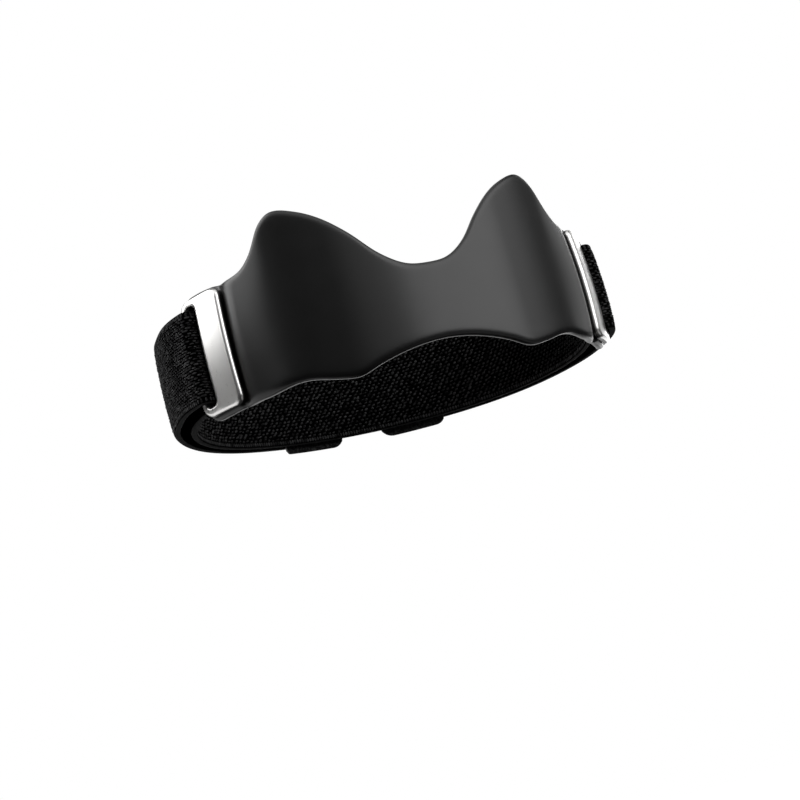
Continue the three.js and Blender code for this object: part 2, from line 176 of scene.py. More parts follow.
class StrapBandSizes(bpy.types.PropertyGroup):
    """The knitted band and its tabs."""

    thickness: length("Thickness", 1.8, "Thickness of the elastic")
    edge_round: length("Edge round", 0.5, "Radius of the band's edges")
    inner_layer: length("Inner layer", -0.7, "Offset of the inner layer at the back")
    outer_layer: length("Outer layer", 2.6, "Offset of the outer layer at the back")
    outer_side: length("Outer side", 2.0, "Offset of the outer layer at the side")
    comes_in: length("Comes in", 86.0, "Arc length where the outer layer has come in to the side")
    goes_out: length("Goes out", 95.0, "Arc length where the outer layer leaves the side")
    leave_bar: length("Leave bar", 71.0, "Arc length where the layers leave the buckle's bar")
    meet: length("Meet", 125.0, "Arc length where the layers lie on each other")
    fold_radius: length("Fold radius", 1.25, "Radius of the fold round the bar")
    left_tab_first: length("Left tab start", 149.0, "Arc length where the left tab starts")
    left_tab_last: length("Left tab end", 167.8, "Arc length where the left tab ends")
    right_tab_first: length("Right tab start", 143.4, "Arc length where the right tab starts")
    right_tab_last: length("Right tab end", 163.4, "Arc length where the right tab ends")
    left_tab_first_corner: length("Left tab start corner", 1.0, "Corner where the left tab starts")
    left_tab_last_corner: length("Left tab end corner", 3.5, "Corner where the left tab ends")
    right_tab_first_corner: length("Right tab start corner", 3.0, "Corner where the right tab starts")
    right_tab_last_corner: length("Right tab end corner", 4.0, "Corner where the right tab ends")
    tab_thickness: length("Tab thickness", 0.9, "Thickness of the hook tabs")
    tab_overhang: length("Tab overhang", 2.5, "How far a tab reaches past the band's end")
    stitch_along: length("Stitch pitch along", 1.6, "Distance between stitches along the band")
    stitch_across: length("Stitch pitch across", 1.0, "Distance between rows of stitches")
    stitch_length: length("Stitch length", 1.2, "Length of a stitch")
    stitch_width: length("Stitch width", 0.7, "Width of a stitch")
    stitch_height: length("Stitch height", 0.35, "How far a stitch stands out")
    stitch_slant: angle("Stitch slant", 28, "How far the stitches lean from the band's length")
    fineness: portion("Outside fineness", 0.72, "Size of the outside's stitches against the inside's")
    selvedge: length("Selvedge", 1.5, "Width of the plain strip along each edge")
    # The edges' colour, lighter than the ground's, is painted light from below.
    edge: colour("Edges", (0.015, 0.015, 0.0152), "Colour of the band's edges")
    # The ground's near-black colour is painted shade between the stitches.
    knit: colour("Knit", (0.0010, 0.0010, 0.0010), "Colour of the ground between the stitches")
    yarn: colour("Yarn", (0.034, 0.034, 0.0345), "Colour of the stitches")
    hook: colour("Hook tape", (0.021, 0.021, 0.0213), "Colour of the hook tabs")


class StrapStageSizes(bpy.types.PropertyGroup):
    """The view and the floor."""

    azimuth: angle("Azimuth", 19.06, "How far the camera stands to the left")
    elevation: angle("Elevation", -15.09, "The camera's height angle; it looks up from below")
    roll: angle("Roll", 15.36, "How far the picture leans")
    distance: length("Distance", 497.4, "From the camera to the strap's axis")
    lens: FloatProperty(name="Lens", description="Focal length", default=81.76, unit="CAMERA")
    shift_x: FloatProperty(name="Shift across", description="Lens shift to the right", default=0.0122)
    shift_y: FloatProperty(name="Shift up", description="Lens shift upwards", default=-0.0756)
    floor_drop: length("Floor drop", 450, "How far the floor lies below the strap")
    floor: colour("Floor", (0.86, 0.86, 0.86), "Colour of the floor")


# The plan curve


class Plan:
    """The plan curve as a row of tangent arcs, mirrored to the left."""

    def __init__(self, sizes):
        self.sizes = sizes
        self.arcs = []
        heading, x, y = 0.0, 0.0, -sizes.front_reach
        for part in ("front", "side", "quarter"):
            radius = getattr(sizes, part + "_radius")
            turn = getattr(sizes, part + "_turn")
            centre = (x - radius * math.sin(heading), y + radius * math.cos(heading))
            self.arcs.append((radius, heading, radius * turn, centre))
            heading += turn
            x = centre[0] + radius * math.sin(heading)
            y = centre[1] - radius * math.cos(heading)
        radius = x / math.sin(heading)
        centre = (0.0, y + radius * math.cos(heading))
        self.arcs.append((radius, heading, radius * (math.pi - heading), centre))
        self.half = sum(arc[2] for arc in self.arcs)

    def at(self, arc_length):
        """The point at an arc length and the outward direction there, both in plan."""
        side = -1 if arc_length < 0 else 1
        rest = min(abs(arc_length), self.half)
        for radius, heading, reach, centre in self.arcs:
            if rest <= reach:
                break
            rest -= reach
        turned = heading + min(rest, reach) / radius
        out = Vector((side * math.sin(turned), -math.cos(turned)))
        return Vector((side * centre[0], centre[1])) + radius * out, out

    def bow(self, arc_length):
        """The share of the bow that the walls have at an arc length."""
        sizes = self.sizes
        arc = abs(arc_length)
        wane = smooth(arc, sizes.bow_wane, sizes.bow_end)
        return smooth(arc, sizes.bow_start, sizes.bow_full) * (1 - wane)

    def fall(self, height):
        """How far a fully bowed wall falls back at a height."""
        return self.sizes.bow_depth * (height / self.sizes.bow_half) ** 2

    def lean(self, height):
        """How fast a fully bowed wall falls back at a height."""
        return 2 * self.sizes.bow_depth * height / self.sizes.bow_half**2

    def place(self, arc_length, offset, height):
        """The point in space at an arc length, an offset outwards and a height."""
        point, out = self.at(arc_length)
        away = offset - self.bow(arc_length) * self.fall(height)
        return (*(point + away * out), height)


def mix(a, b, t):
    return a + (b - a) * t


def smooth(value, first, last):
    """0 before first, 1 after last and a smooth rise between them."""
    t = min(max((value - first) / (last - first), 0.0), 1.0)
    return t * t * (3 - 2 * t)


def even(first, last, step):
    """Evenly spaced values from first to last, about a step apart."""
    count = max(1, round((last - first) / step))
    return [mix(first, last, i / count) for i in range(count + 1)]


def corner_inset(to_end, radius):
    """How far a rounded corner draws an edge in, at a distance from the end."""
    if to_end >= radius:
        return 0.0
    across = radius - max(to_end, 0.0)
    return radius - math.sqrt(radius * radius - across * across)


def wall_section(top, bottom, inner, outer, outer_round, inner_round, shares, round_steps):
    """One closed upright section of a wall as (offset, height) pairs, from the outer face's foot upwards.

    A round is how far an edge is drawn in and over what height. The shares place the points on the two
    faces, from 0 at the foot to 1 at the top.
    """
    low, high = bottom + outer_round[1], top - outer_round[1]
    section = [(outer, mix(low, high, share)) for share in shares[:-1]]
    corners = (
        (outer - outer_round[0], top - outer_round[1], outer_round, 0),
        (inner + inner_round[0], top - inner_round[1], inner_round, 90),
        (inner + inner_round[0], bottom + inner_round[1], inner_round, 180),
        (outer - outer_round[0], bottom + outer_round[1], outer_round, 270),
    )
    for offset, height, (across, rise), first in corners:
        for step in range(round_steps + 1):
            turned = math.radians(first + 90 * step / round_steps)
            section.append((offset + across * math.cos(turned), height + rise * math.sin(turned)))
        if first == 90:
            low, high = bottom + inner_round[1], top - inner_round[1]
            section += [(inner, mix(low, high, share)) for share in reversed(shares[1:-1])]
    section[-1] = section[0]
    return section


# Modelling by operators


def only(*pieces):
    """Selects these pieces alone, the first of them active."""
    bpy.ops.object.select_all(action="DESELECT")
    for piece in pieces:
        piece.select_set(True)
    bpy.context.view_layer.objects.active = pieces[0]


def start(primitive, name, **settings):
    """Adds a primitive with nothing else selected, and names it."""
    bpy.ops.object.select_all(action="DESELECT")
    primitive(**settings)
    piece = bpy.context.active_object
    piece.name = piece.data.name = name
    return piece


@contextmanager
def editing(piece, mode="VERT"):
    """Edit mode on one piece, with nothing selected at first."""
    only(piece)
    bpy.ops.object.mode_set(mode="EDIT")
    bpy.ops.mesh.select_mode(type=mode)
    bpy.ops.mesh.select_all(action="DESELECT")
    yield
    bpy.ops.object.mode_set(mode="OBJECT")


def select(piece, kind, test):
    """Selects the verts, edges or faces of the piece in edit mode that pass a test."""
    mesh = bmesh.from_edit_mesh(piece.data)
    for element in getattr(mesh, kind):
        element.select_set(False)
    for element in getattr(mesh, kind):
        if test(element):
            element.select_set(True)
    mesh.select_flush_mode()
    bmesh.update_edit_mesh(piece.data)


def middle(edge):
    return (edge.verts[0].co + edge.verts[1].co) / 2


def grid_of(name, columns):
    """A grid primitive wrapped over columns of equally many points."""
    across, along = len(columns[0]), len(columns)
    piece = start(
        bpy.ops.mesh.primitive_grid_add, name, x_subdivisions=along - 1, y_subdivisions=across - 1
    )
    points = np.array(columns, dtype=np.float32).transpose(1, 0, 2)
    piece.data.vertices.foreach_set("co", points.ravel())
    piece.data.update()
    return piece


def set_uv(piece, along, across):
    """Gives a wrapped grid a UV map in metres, before its seams are merged."""
    uv = piece.data.uv_layers.active.data
    for loop in piece.data.loops:
        row, column = divmod(loop.vertex_index, len(along))
        uv[loop.index].uv = (along[column], across[row])


def close_up(piece):
    """Merges a wrapped grid's seam, fills its ends and turns its faces outwards."""
    with editing(piece):
        bpy.ops.mesh.select_all(action="SELECT")
        bpy.ops.mesh.remove_doubles(threshold=MERGE)
        bpy.ops.mesh.select_all(action="DESELECT")
        bpy.ops.mesh.select_non_manifold()
        bpy.ops.mesh.fill_holes(sides=0)
        bpy.ops.mesh.select_all(action="SELECT")
        bpy.ops.mesh.normals_make_consistent(inside=False)


def subdivide(piece, levels):
    modifier = piece.modifiers.new("Subdivision", "SUBSURF")
    modifier.levels = modifier.render_levels = levels
    bpy.context.view_layer.objects.active = piece
    bpy.ops.object.modifier_apply(modifier=modifier.name)


def rounded_plane(name, across, up, corners):
    """A plane in arc length and height, its front and rear corners rounded by two radii."""
    piece = start(bpy.ops.mesh.primitive_plane_add, name, size=1)
    piece.scale = (across[1] - across[0], up[1] - up[0], 1)
    piece.location = (sum(across) / 2, sum(up) / 2, 0)
    bpy.ops.object.transform_apply(location=True, rotation=True, scale=True)
    with editing(piece):
        for place, radius in zip(across, corners):
            select(piece, "verts", lambda v: abs(v.co.x - place) < TOUCH)
            bpy.ops.mesh.bevel(offset=radius, segments=CORNER_SEGMENTS, affect="VERTICES")
    return piece


def cut_across(normal, places):
    """Cuts the piece in edit mode across at each place, so that it can follow a curve."""
    for place in places:
        bpy.ops.mesh.select_all(action="SELECT")
        bpy.ops.mesh.bisect(plane_co=Vector(normal) * place, plane_no=normal)


def lay_on_plan(piece, plan, side):
    """Lays a flat piece, in arc length, height and offset, on the strap's curve on one side."""
    for vertex in piece.data.vertices:
        arc, height, offset = vertex.co
        vertex.co = plan.place(side * arc, offset, height)
    if side < 0:
        piece.data.flip_normals()


def dress(piece, materials, node=None):
    """Finishes a piece: its materials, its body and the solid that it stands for."""
    for material in materials:
        piece.data.materials.append(material)
    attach(piece, BODY)
    if node:
        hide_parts(node)


def scattered(name, template, frames):
    """One mesh of many copies of a template, each on its own (origin, three axes)."""
    shape = np.array([v.co for v in template.data.vertices])
    faces = [tuple(p.vertices) for p in template.data.polygons]
    points, polygons = [], []
    for origin, axes in frames:
        first = len(points) * len(shape)
        points.append(shape @ np.array(axes) + np.array(origin))
        polygons += [tuple(first + i for i in face) for face in faces]
    mesh = bpy.data.meshes.new(name)
    mesh.from_pydata(np.concatenate(points).tolist(), [], polygons)
    mesh.shade_smooth()
    piece = bpy.data.objects.new(name, mesh)
    bpy.context.scene.collection.objects.link(piece)
    return piece


# Materials


class Shader:
    """A material with a Principled shader and short calls for the nodes that feed it."""

    # The sockets of a Mix node that blends colours.
    MIX_FACTOR, MIX_DARK, MIX_LIGHT, MIX_RESULT = 0, 6, 7, 2

    def __init__(self, name, **values):
        self.material = bpy.data.materials.new(name)
        self.material.use_nodes = True
        self.tree = self.material.node_tree
        self.principled = self.tree.nodes["Principled BSDF"]
        for socket, value in values.items():
            self.principled.inputs[socket.replace("_", " ")].default_value = value

    def node(self, kind, inputs=None, **settings):
        made = self.tree.nodes.new(kind)
        for key, value in settings.items():
            setattr(made, key, value)
        for key, value in (inputs or {}).items():
            if isinstance(value, bpy.types.NodeSocket):
                self.tree.links.new(value, made.inputs[key])
            else:
                made.inputs[key].default_value = value
        return made

    def noise(self, vector, scale, detail=2.0):
        inputs = {"Vector": vector, "Scale": scale, "Detail": detail}
        return self.node("ShaderNodeTexNoise", inputs).outputs["Fac"]

    def stretch(self, vector, scale):
        return self.node("ShaderNodeMapping", {"Vector": vector, "Scale": scale}).outputs["Vector"]

    def span(self, value, low, high):
        """A value from 0 to 1 spread over a range."""
        inputs = {"Value": value, "To Min": low, "To Max": high}
        return self.node("ShaderNodeMapRange", inputs).outputs["Result"]

    def contrast(self, value, low, high):
        """A range of a value spread from 0 to 1."""
        inputs = {"Value": value, "From Min": low, "From Max": high}
        return self.node("ShaderNodeMapRange", inputs).outputs["Result"]

    def blend(self, value, dark, light):
        inputs = {self.MIX_FACTOR: value, self.MIX_DARK: (*dark, 1), self.MIX_LIGHT: (*light, 1)}
        return self.node("ShaderNodeMix", inputs, data_type="RGBA").outputs[self.MIX_RESULT]

    def bump(self, height, strength, distance, below=None):
        inputs = {"Height": height, "Strength": strength, "Distance": distance}
        if below is not None:
            inputs["Normal"] = below
        return self.node("ShaderNodeBump", inputs).outputs["Normal"]

    def feed(self, **sockets):
        for socket, output in sockets.items():
            self.tree.links.new(output, self.principled.inputs[socket.replace("_", " ")])
        return self.material

    def finish(self, base, tint, shades, grain, roughness, **sockets):
        """Feeds two shades of a base colour by one pattern, roughness by another, and the other sockets."""
        dark, light = (scaled(base, shade) for shade in shades)
        colours = self.blend(tint, dark, light)
        return self.feed(Base_Color=colours, Roughness=self.span(grain, *roughness), **sockets)

    @property
    def object_place(self):
        return self.node("ShaderNodeTexCoord").outputs["Object"]

    @property
    def uv(self):
        return self.node("ShaderNodeTexCoord").outputs["UV"]


def scaled(value, factor):
    return tuple(min(1.0, channel * factor) for channel in value)


def silicone_material(base):
    """Matte moulded silicone with a fine skin and faint cloudiness."""
    shader = Shader("moulded_silicone", IOR=1.42)
    place = shader.object_place
    skin = shader.noise(place, scale=5200)
    return shader.finish(
        base,
        tint=shader.noise(place, scale=70, detail=3),
        shades=(0.85, 1.15),
        grain=shader.noise(place, scale=160, detail=4),
        roughness=(0.29, 0.34),
        Normal=shader.bump(skin, strength=0.06, distance=0.03 * MM),
    )


def steel_material(base):
    """Satin steel, finely brushed along the plate's height."""
    shader = Shader("satin_steel", Metallic=1.0)
    place = shader.object_place
    brushed = shader.noise(shader.stretch(place, (9000, 9000, 260)), scale=1, detail=3)
    return shader.finish(
        base,
        tint=shader.noise(place, scale=120, detail=3),
        shades=(0.94, 1.05),
        grain=brushed,
        roughness=(0.24, 0.36),
        Normal=shader.bump(brushed, strength=0.05, distance=0.02 * MM),
    )


def plain_steel_material(name, base, scale, shades, roughness):
    """Unbrushed steel: polished bevels with a painted highlight, cut walls with painted shade."""
    shader = Shader(name, Metallic=1.0)
    place = shader.object_place
    cloud = shader.noise(place, scale)
    return shader.finish(base, cloud, shades, shader.noise(place, scale=900), roughness)


def knit_ground_painted_shade_material(base):
    """The ground between stitches in painted shade: near black, with fine threads across the band."""
    shader = Shader("knit_ground", Specular_IOR_Level=0.0)
    uv = shader.uv
    wave = {"Vector": uv, "Scale": 350, "Distortion": 1.2, "Detail": 1}
    threads = shader.node("ShaderNodeTexWave", wave, bands_direction="X").outputs["Fac"]
    fuzz = shader.noise(uv, scale=4000, detail=3)
    threaded = shader.bump(threads, strength=0.5, distance=0.12 * MM)
    return shader.finish(
        base,
        tint=threads,
        shades=(0.6, 1.5),
        grain=fuzz,
        roughness=(0.8, 1.0),
        Normal=shader.bump(fuzz, strength=0.4, distance=0.06 * MM, below=threaded),
    )


def selvedge_painted_light_material(base):
    """The band's edges in painted light from below: close fine threads across the edge."""
    shader = Shader("knit_selvedge", Specular_IOR_Level=0.05)
    uv = shader.uv
    threads = shader.noise(shader.stretch(uv, (2600, 500, 1)), scale=1)
    return shader.finish(
        base,
        tint=threads,
        shades=(0.4, 1.7),
        grain=shader.noise(uv, scale=3000),
        roughness=(0.75, 0.95),
        Normal=shader.bump(threads, strength=0.6, distance=0.1 * MM),
    )


def yarn_material(base):
    """Spun yarn of the stitches: matte, with fibres and a little colour change."""
    shader = Shader("knit_yarn", Specular_IOR_Level=0.03)
    place = shader.object_place
    fibres = shader.noise(shader.stretch(place, (1, 1, 2.5)), scale=3800, detail=3)
    return shader.finish(
        base,
        tint=shader.contrast(shader.noise(place, scale=620), low=0.32, high=0.68),
        shades=(0.12, 2.2),
        grain=fibres,
        roughness=(0.62, 0.86),
        Normal=shader.bump(fibres, strength=0.45, distance=0.08 * MM),
    )


def hook_material(base):
    """Hook tape: a close field of small hooks over a tufted ground."""
    shader = Shader("hook_tape", Specular_IOR_Level=0.08)
    uv = shader.uv
    cells = {"Vector": uv, "Scale": 1300, "Randomness": 0.35}
    hooks = shader.node("ShaderNodeTexVoronoi", cells).outputs["Distance"]
    return shader.finish(
        base,
        tint=shader.contrast(shader.noise(uv, scale=1100), low=0.4, high=0.66),
        shades=(0.25, 2.4),
        grain=shader.noise(uv, scale=900),
        roughness=(0.6, 0.8),
        Normal=shader.bump(hooks, strength=0.6, distance=0.15 * MM),
    )


# The pieces


class StrapPadOperator(bpy.types.Operator):
    """Model the silicone pad with its wings and its two tongues"""

    bl_idname = "strap.pad"
    bl_label = "Silicone pad"

    STEP = 1.0 * MM
    CORNER_STEP = 0.45 * MM
    FACE_STEPS = 12
    ROUND_STEPS = 5

    def execute(self, context):
        scene = context.scene
        self.sizes = scene.strap_pad
        self.buckle = scene.strap_buckle
        self.plan = Plan(scene.strap_plan)
        self.end = self.buckle.rear + self.sizes.tongue_rim
        stations = self.stations()
        shares = self.shares()
        columns = [self.column(arc, shares) for arc in stations]
        pad = grid_of("silicone_pad", columns)
        self.mark_windows(pad, stations, shares)
        close_up(pad)
        self.open_windows(pad)
        subdivide(pad, 1)
        pad.data.shade_smooth()
        dress(pad, [silicone_material(self.sizes.silicone)], "pad")
        return {"FINISHED"}

    def stations(self):
        """Arc lengths of the sections: one on each edge of the windows, and close ones at the corners."""
        sizes, buckle = self.sizes, self.buckle
        corner = self.end - sizes.tongue_corner
        stretches = (
            (0.0, sizes.flare_foot, self.STEP),
            (sizes.flare_foot, buckle.slot_front, self.STEP),
            (buckle.slot_front, corner, self.STEP),
            (corner, buckle.slot_rear, self.CORNER_STEP),
            (buckle.slot_rear, self.end, self.CORNER_STEP),
        )
        half = [0.0]
        for first, last, step in stretches:
            half += even(first, last, step)[1:]
        return [-arc for arc in reversed(half[1:])] + half

    def shares(self):
        """Places of the points up a face, two of them level with the windows' ends on the tongues."""
        marks = [0.0, self.share_of(self.buckle.slot_bottom), self.share_of(self.buckle.slot_top), 1.0]
        shares = [0.0]
        for first, last in zip(marks, marks[1:]):
            shares += even(first, last, 1 / self.FACE_STEPS)[1:]
        return shares

    def edge(self, name, arc_length):
        """Height of the pad's upper or lower edge: a smooth curve through the rows of the table."""
        arc = min(abs(arc_length) / MM, PAD_EDGES[-1]["arc"])
        row = 0
        while row < len(PAD_EDGES) - 2 and arc > PAD_EDGES[row + 1]["arc"]:
            row += 1
        near, far = PAD_EDGES[row], PAD_EDGES[row + 1]
        span = far["arc"] - near["arc"]
        t = (arc - near["arc"]) / span
        bend = t * (1 - t) * span
        line = mix(near[name], far[name], t * t * (3 - 2 * t))
        return (line + bend * (self.slope(name, row) * (1 - t) - self.slope(name, row + 1) * t)) * MM

    @staticmethod
    def slope(name, row):
        if row in (0, len(PAD_EDGES) - 1):
            return 0.0
        before, after = PAD_EDGES[row - 1], PAD_EDGES[row + 1]
        return (after[name] - before[name]) / (after["arc"] - before["arc"])

    def flare(self, arc):
        """How far the outer face stands out at an arc length."""
        sizes = self.sizes
        rise = smooth(arc, sizes.flare_start, sizes.flare_end)
        roll = (arc - sizes.flare_roll) / (sizes.flare_foot - sizes.flare_roll)
        under_plate = smooth(arc, self.buckle.front, self.buckle.front + sizes.flare_return)
        return sizes.flare_depth * rise * (1 - max(roll, 0.0) ** 2) * (1 - under_plate)

    def column(self, arc, shares):
        """The points of one section of the pad, in space."""
        sizes = self.sizes
        flare = self.flare(abs(arc))
        to_tongue = smooth(abs(arc), sizes.tongue_start, sizes.tongue_full)
        inset = corner_inset(self.end - abs(arc), sizes.tongue_corner)
        tongue = Vector((sizes.tongue_round, sizes.tongue_round))
        section = wall_section(
            self.edge("top", arc) - inset,
            self.edge("bottom", arc) + inset,
            -mix(sizes.thickness - sizes.inner_share * flare, sizes.tongue_thickness, to_tongue),
            flare,
            mix(Vector((sizes.outer_round, sizes.outer_rise)), tongue, to_tongue),
            mix(Vector((sizes.inner_round, sizes.inner_rise)), tongue, to_tongue),
            shares,
            self.ROUND_STEPS,
        )
        return [self.plan.place(arc, offset, height) for offset, height in section]

    def mark_windows(self, pad, stations, shares):
        """Marks the faces of the grid that the band passes through, on the outer and the inner face."""
        buckle = self.buckle
        low, high = (self.level(shares, height) for height in (buckle.slot_bottom, buckle.slot_top))
        # The rows go up the outer face, over two rounds and down the inner face.
        rise = len(shares) - 1
        inner_top = rise + 2 * (self.ROUND_STEPS + 1) - 1
        rows = set(range(low, high))
        rows |= {inner_top + rise - 1 - row for row in rows}
        marks = pad.data.attributes.new("window", "BOOLEAN", "FACE")
        columns = len(stations) - 1
        for polygon in pad.data.polygons:
            row, column = divmod(polygon.index, columns)
            arc = abs(stations[column] + stations[column + 1]) / 2
            marks.data[polygon.index].value = row in rows and buckle.slot_front < arc < buckle.slot_rear

    def level(self, shares, height):
        """Index of the point on a tongue's face that is level with a height."""
        return min(range(len(shares)), key=lambda i: abs(shares[i] - self.share_of(height)))

    def share_of(self, height):
        """Place of a height on a tongue's face, from 0 at the foot to 1 at the top."""
        low = self.edge("bottom", self.end) + self.sizes.tongue_round
        high = self.edge("top", self.end) - self.sizes.tongue_round
        return (height - low) / (high - low)

    def open_windows(self, pad):
        """Cuts the marked faces out and joins the outer rim of each window to the inner one."""
        with editing(pad, "FACE"):
            mesh = bmesh.from_edit_mesh(pad.data)
            marks = mesh.faces.layers.bool["window"]
            select(pad, "faces", lambda face: face[marks])
            bpy.ops.mesh.delete(type="FACE")
            bpy.ops.mesh.select_mode(type="EDGE")
            for side in (-1, 1):
                select(pad, "edges", lambda edge: edge.is_boundary and middle(edge).x * side > 0)
                bpy.ops.mesh.bridge_edge_loops()
            bpy.ops.mesh.select_all(action="SELECT")
            bpy.ops.mesh.normals_make_consistent(inside=False)


class StrapBucklesOperator(bpy.types.Operator):
    """Model the two steel frames: a plate with a slot, extruded, bevelled and curved to the strap"""

    bl_idname = "strap.buckles"
    bl_label = "Steel buckles"

    BEVEL_SEGMENTS = 6
    BEVEL_SLOT, WALL_SLOT = 1, 2
    WALL_SLOPE = 0.1
    SHARP_ANGLE = math.radians(57)
    SMOOTH_ANGLE = math.radians(35)
    ARC_CUT = 1.0 * MM
    HEIGHT_CUT = 2.5 * MM

    def execute(self, context):
        scene = context.scene
        self.sizes = scene.strap_buckle
        plan = Plan(scene.strap_plan)
        low, high = (corner.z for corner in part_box("buckle_right"))
        flat = self.flat_frame(low, high)
        steel = self.sizes.steel
        materials = [
            steel_material(steel),
            # The bevels' copy: real polish in its roughness, and a painted highlight in its lighter colour.
            plain_steel_material(
                "polished_steel_edge", steel, scale=300, shades=(1.12, 1.25), roughness=(0.10, 0.17)
            ),
            # The walls' copy, cut to near black: painted shade for the pad's reflection and the gap's
            # shadow.
            plain_steel_material(
                "dull_steel_wall", steel, scale=500, shades=(0.08, 0.14), roughness=(0.28, 0.36)
            ),
        ]
        for side, hand in ((-1, "left"), (1, "right")):
            buckle = bpy.data.objects.new("steel_buckle_" + hand, flat.data.copy())
            scene.collection.objects.link(buckle)
            lay_on_plan(buckle, plan, side)
            only(buckle)
            bpy.ops.object.shade_smooth_by_angle(angle=self.SMOOTH_ANGLE)
            dress(buckle, materials, "buckle_" + hand)
        bpy.data.objects.remove(flat)
        return {"FINISHED"}

    def flat_frame(self, low, high):
        """The frame laid flat: arc length across, height up and the offset as its thickness."""
        sizes = self.sizes
        frame_edge = rounded_plane(
            "frame_edge", (sizes.front, sizes.rear), (low, high), (sizes.front_corner, sizes.rear_corner)
        )
        slot_edge = rounded_plane(
            "slot_edge",
            (sizes.slot_front, sizes.slot_rear),
            (sizes.slot_bottom, sizes.slot_top),
            (sizes.slot_corner, sizes.slot_corner),
        )
        only(frame_edge, slot_edge)
        bpy.ops.object.join()
        face = sizes.clearance + sizes.thickness
        with editing(frame_edge, "EDGE"):
            bpy.ops.mesh.select_all(action="SELECT")
            bpy.ops.mesh.delete(type="ONLY_FACE")
            bpy.ops.mesh.select_all(action="SELECT")
            bpy.ops.mesh.bridge_edge_loops()
            bpy.ops.mesh.select_all(action="SELECT")
            bpy.ops.transform.translate(value=(0, 0, sizes.clearance))
            bpy.ops.mesh.extrude_region_move(TRANSFORM_OT_translate={"value": (0, 0, sizes.thickness)})
            bpy.ops.mesh.select_all(action="SELECT")
            bpy.ops.mesh.normals_make_consistent(inside=False)
            select(
                frame_edge,
                "edges",
                lambda edge: middle(edge).z > face - TOUCH and edge.calc_face_angle(0) > self.SHARP_ANGLE,
            )
            bpy.ops.mesh.bevel(offset=sizes.bevel, segments=self.BEVEL_SEGMENTS, material=self.BEVEL_SLOT)
            cut_across((1, 0, 0), even(sizes.front, sizes.rear, self.ARC_CUT)[1:-1])
            cut_across((0, 1, 0), even(low, high, self.HEIGHT_CUT)[1:-1])
        # The cut walls take the copy painted near black as painted shade.
        for polygon in frame_edge.data.polygons:
            if abs(polygon.normal.z) < self.WALL_SLOPE:
                polygon.material_index = self.WALL_SLOT
        return frame_edge


class Strip:
    """The band's route: the middle of its thickness, from the left end round both buckles to the right end.

    The side to the right of the route is the outside of the outer layers and the inside of the inner one.
    """

    STEP = 1.0 * MM
    FOLD_STEPS = 8

    def __init__(self, scene):
        self.band = scene.strap_band
        self.buckle = scene.strap_buckle
        self.tongue = scene.strap_pad.tongue_thickness
        self.plan = Plan(scene.strap_plan)
        left = self.half(-1, self.band.left_tab_last - self.band.tab_overhang)
        right = self.half(1, self.band.right_tab_last - self.band.tab_overhang)
        route = np.array(left[::-1] + right[1:])
        points = route[:, :2]
        steps = np.linalg.norm(np.diff(points, axis=0), axis=1)
        self.along = np.concatenate([[0.0], np.cumsum(steps)])
        tangents = np.gradient(points, self.along, axis=0)
        tangents /= np.linalg.norm(tangents, axis=1)[:, None]
        self.points = points
        self.bows = route[:, 2:]
        self.out = np.stack([tangents[:, 1], -tangents[:, 0]], axis=1)
        self.length = float(self.along[-1])
        middle_row = len(left) - 1
        self.centre = float(self.along[middle_row])
        self.folds = [float(self.along[middle_row + side * self.fold_index]) for side in (-1, 1)]

    def layers(self, arc):
        """Offsets of the inner and the outer layer at an arc length."""
        band, buckle = self.band, self.buckle
        reach = buckle.clearance + band.thickness / 2
        inner = mix(-self.tongue - reach, band.inner_layer, smooth(arc, band.leave_bar, band.meet))
        over_buckle = buckle.clearance + buckle.thickness + reach
        side = mix(over_buckle, band.outer_side, smooth(arc, band.leave_bar, band.comes_in))
        outer = mix(side, band.outer_layer, smooth(arc, band.goes_out, band.meet))
        return inner, outer

    def half(self, side, end):
        """The route in plan from the back centre to one end, each point with the bow's direction there."""
        band = self.band
        turn = self.buckle.slot_rear - self.buckle.clearance - band.thickness / 2 + band.fold_radius
        inner, outer = self.layers(turn)
        route = [(arc, self.layers(arc)[0]) for arc in reversed(even(turn, self.plan.half, self.STEP)[1:])]
        for centre, first in ((inner + band.fold_radius, -90), (outer - band.fold_radius, 180)):
            for step in range(self.FOLD_STEPS + 1):
                turned = math.radians(first - 90 * step / self.FOLD_STEPS)
                arc = turn + band.fold_radius * math.cos(turned)
                route.append((arc, centre + band.fold_radius * math.sin(turned)))
        self.fold_index = len(route) - 1 - self.FOLD_STEPS
        route += [(arc, self.layers(arc)[1]) for arc in even(turn, end, self.STEP)[1:]]
        rows = []
        for arc, offset in route:
            point, out = self.plan.at(side * arc)
            rows.append((*(point + offset * out), *(self.plan.bow(arc) * out)))
        return rows

    def frame(self, along):
        """Point, outward direction and direction of the bow in plan, at a length along the strip."""
        point, out, bow = (
            np.array([np.interp(along, self.along, column) for column in rows.T])
            for rows in (self.points, self.out, self.bows)
        )
        return point, out / np.linalg.norm(out), bow

    def place(self, point, out, bow, offset, height):
        return (*(point + offset * out - self.plan.fall(height) * bow), height)


